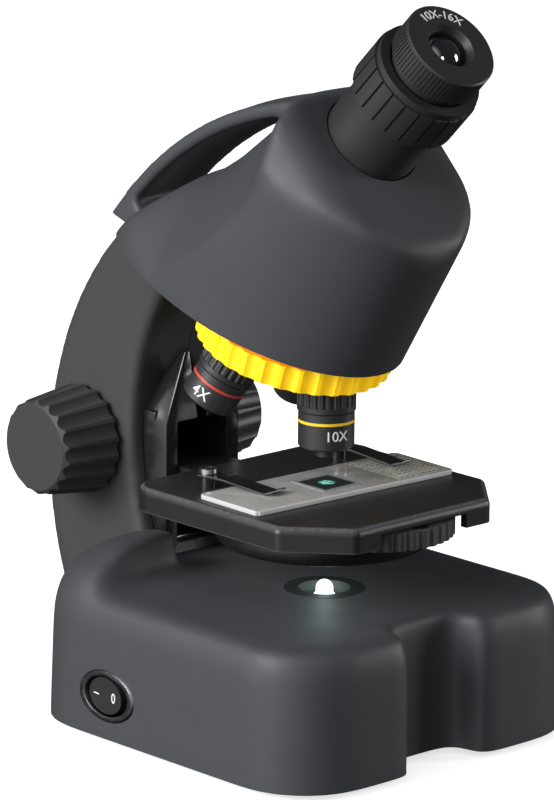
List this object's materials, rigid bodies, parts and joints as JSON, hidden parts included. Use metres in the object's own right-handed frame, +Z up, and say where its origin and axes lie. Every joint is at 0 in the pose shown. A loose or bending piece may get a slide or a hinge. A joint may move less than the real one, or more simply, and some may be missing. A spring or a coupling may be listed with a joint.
{
  "type": "microscope",
  "caption": "Small student light microscope with a C-shaped arm, carrying handle, tilted eyepiece, objective turret, focusing stage with clips and a lamp in a notched block base.",
  "frame": {"origin": "on the table plane, straight below the optical axis of the working objective", "axes": "+Z up along the optical axis; the eyepiece and the free side of the stage face -Y, the arm is towards +Y; the focus shaft runs along X"},
  "size_m": [0.1169, 0.161, 0.2192],
  "materials": {
    "soft_grey": "soft matte, moulded",
    "arm_grey": "soft matte, moulded",
    "knob_grey": "matte, fluted",
    "inner_black": "plain moulded",
    "stage_black": "satin moulded",
    "optic_black": "satin",
    "turret_yellow": "satin moulded",
    "band_yellow": "printed ring",
    "band_red": "printed ring",
    "band_blue": "printed ring",
    "steel": "bright",
    "clip_steel": "blued",
    "brass": "turned",
    "gear_nylon": "moulded nylon",
    "rubber": "soft",
    "gunmetal": "metallised rim",
    "cell_wrap": "shrink wrap",
    "board_green": "solder mask",
    "lamp_trim": "satin",
    "lamp_clear": "frosted dome",
    "lens_glass": "polished",
    "slide_plastic": "frosted clear plastic"
  },
  "bodies": {
    "stand": {"arm_left": "arm_grey", "arm_right": "arm_grey", "arm_screws": "steel", "base_plate": "inner_black", "base_screws": "steel", "base_shell": "soft_grey", "battery_cells": "cell_wrap", "battery_contacts": "steel", "battery_door": "inner_black", "battery_tray": "inner_black", "carry_handle": "soft_grey", "eyepiece_collar": "optic_black", "eyepiece_tube": "optic_black", "feet": "rubber", "focus_bushes": "brass", "head_floor": "inner_black", "head_shell": "soft_grey", "lamp_board": "board_green", "lamp_lens": "lamp_clear", "lamp_ring": "lamp_trim", "prism_holder": "inner_black", "roof_prism": "lens_glass", "stage_guide": "stage_black", "switch_bezel": "gunmetal", "turret_detent": "steel", "turret_screw": "steel"},
    "stage": {"stage_plate": "stage_black", "stage_carrier": "stage_black", "focus_rack": "gear_nylon", "stage_screws": "steel", "clip_posts": "stage_black", "clip_screws": "steel", "specimen_slide": "slide_plastic", "cover_glass": "lens_glass", "disc_pivot": "steel"},
    "focus_drive": {"focus_shaft": "steel", "focus_pinion": "gear_nylon", "knob_left": "knob_grey", "knob_right": "knob_grey"},
    "nosepiece": {"turret_ring": "turret_yellow", "turret_plate": "optic_black", "objective_10x_barrel": "optic_black", "objective_4x_barrel": "optic_black", "objective_40x_barrel": "optic_black", "objective_10x_collar": "optic_black", "objective_4x_collar": "optic_black", "objective_40x_collar": "optic_black", "objective_10x_band": "band_yellow", "objective_4x_band": "band_red", "objective_40x_band": "band_blue", "objective_lenses": "lens_glass"},
    "disc": {"aperture_disc": "knob_grey"},
    "left_clip": {"clip_left": "clip_steel"},
    "right_clip": {"clip_right": "clip_steel"},
    "rocker": {"switch_rocker": "inner_black"},
    "eyepiece_draw_tube": {"eyepiece_barrel": "optic_black", "field_lens": "lens_glass"},
    "eyepiece_zoom_ring": {"eyepiece_ring": "optic_black", "eye_lens": "lens_glass", "lens_ring": "optic_black"}
  },
  "joints": [
    {"name": "stage_travel", "type": "slide", "parent": "stand", "child": "stage", "axis": [0, 0, 1], "range_m": [-0.012, 0.003]},
    {"name": "focus_turn", "type": "hinge", "parent": "stand", "child": "focus_drive", "pos_m": [0, 0.0835, 0.0755], "axis": [1, 0, 0], "range_deg": [-28.8, 114.8]},
    {"name": "nosepiece_turn", "type": "hinge", "parent": "stand", "child": "nosepiece", "pos_m": [0, 0.0142, 0.1125], "axis": [0, -0.309, 0.9511], "continuous": true},
    {"name": "disc_turn", "type": "hinge", "parent": "stage", "child": "disc", "pos_m": [0, -0.0195, 0.067], "axis": [0, 0, 1], "continuous": true},
    {"name": "left_clip_turn", "type": "hinge", "parent": "stage", "child": "left_clip", "pos_m": [-0.026, 0.022, 0.0774], "axis": [0, 0, 1], "range_deg": [-35, 8]},
    {"name": "right_clip_turn", "type": "hinge", "parent": "stage", "child": "right_clip", "pos_m": [0.026, 0.022, 0.0774], "axis": [0, 0, 1], "range_deg": [-8, 35]},
    {"name": "switch_rock", "type": "hinge", "parent": "stand", "child": "rocker", "pos_m": [-0.05169, 0.0295, 0.01482], "axis": [0.0332, 0, 0.9995], "range_deg": [0, 14]},
    {"name": "eyepiece_draw", "type": "slide", "parent": "stand", "child": "eyepiece_draw_tube", "axis": [0, -0.7071, 0.7071], "range_m": [0, 0.004]},
    {"name": "zoom_turn", "type": "hinge", "parent": "eyepiece_draw_tube", "child": "eyepiece_zoom_ring", "pos_m": [0, -0.0486, 0.2097], "axis": [0, -0.7071, 0.7071], "range_deg": [-0.5, 90.5]}
  ],
  "couplings": [
    {"joint": "focus_turn", "follows": "stage_travel", "rad_per_m": -166.67},
    {"joint": "zoom_turn", "follows": "eyepiece_draw", "rad_per_m": 392.7}
  ]
}
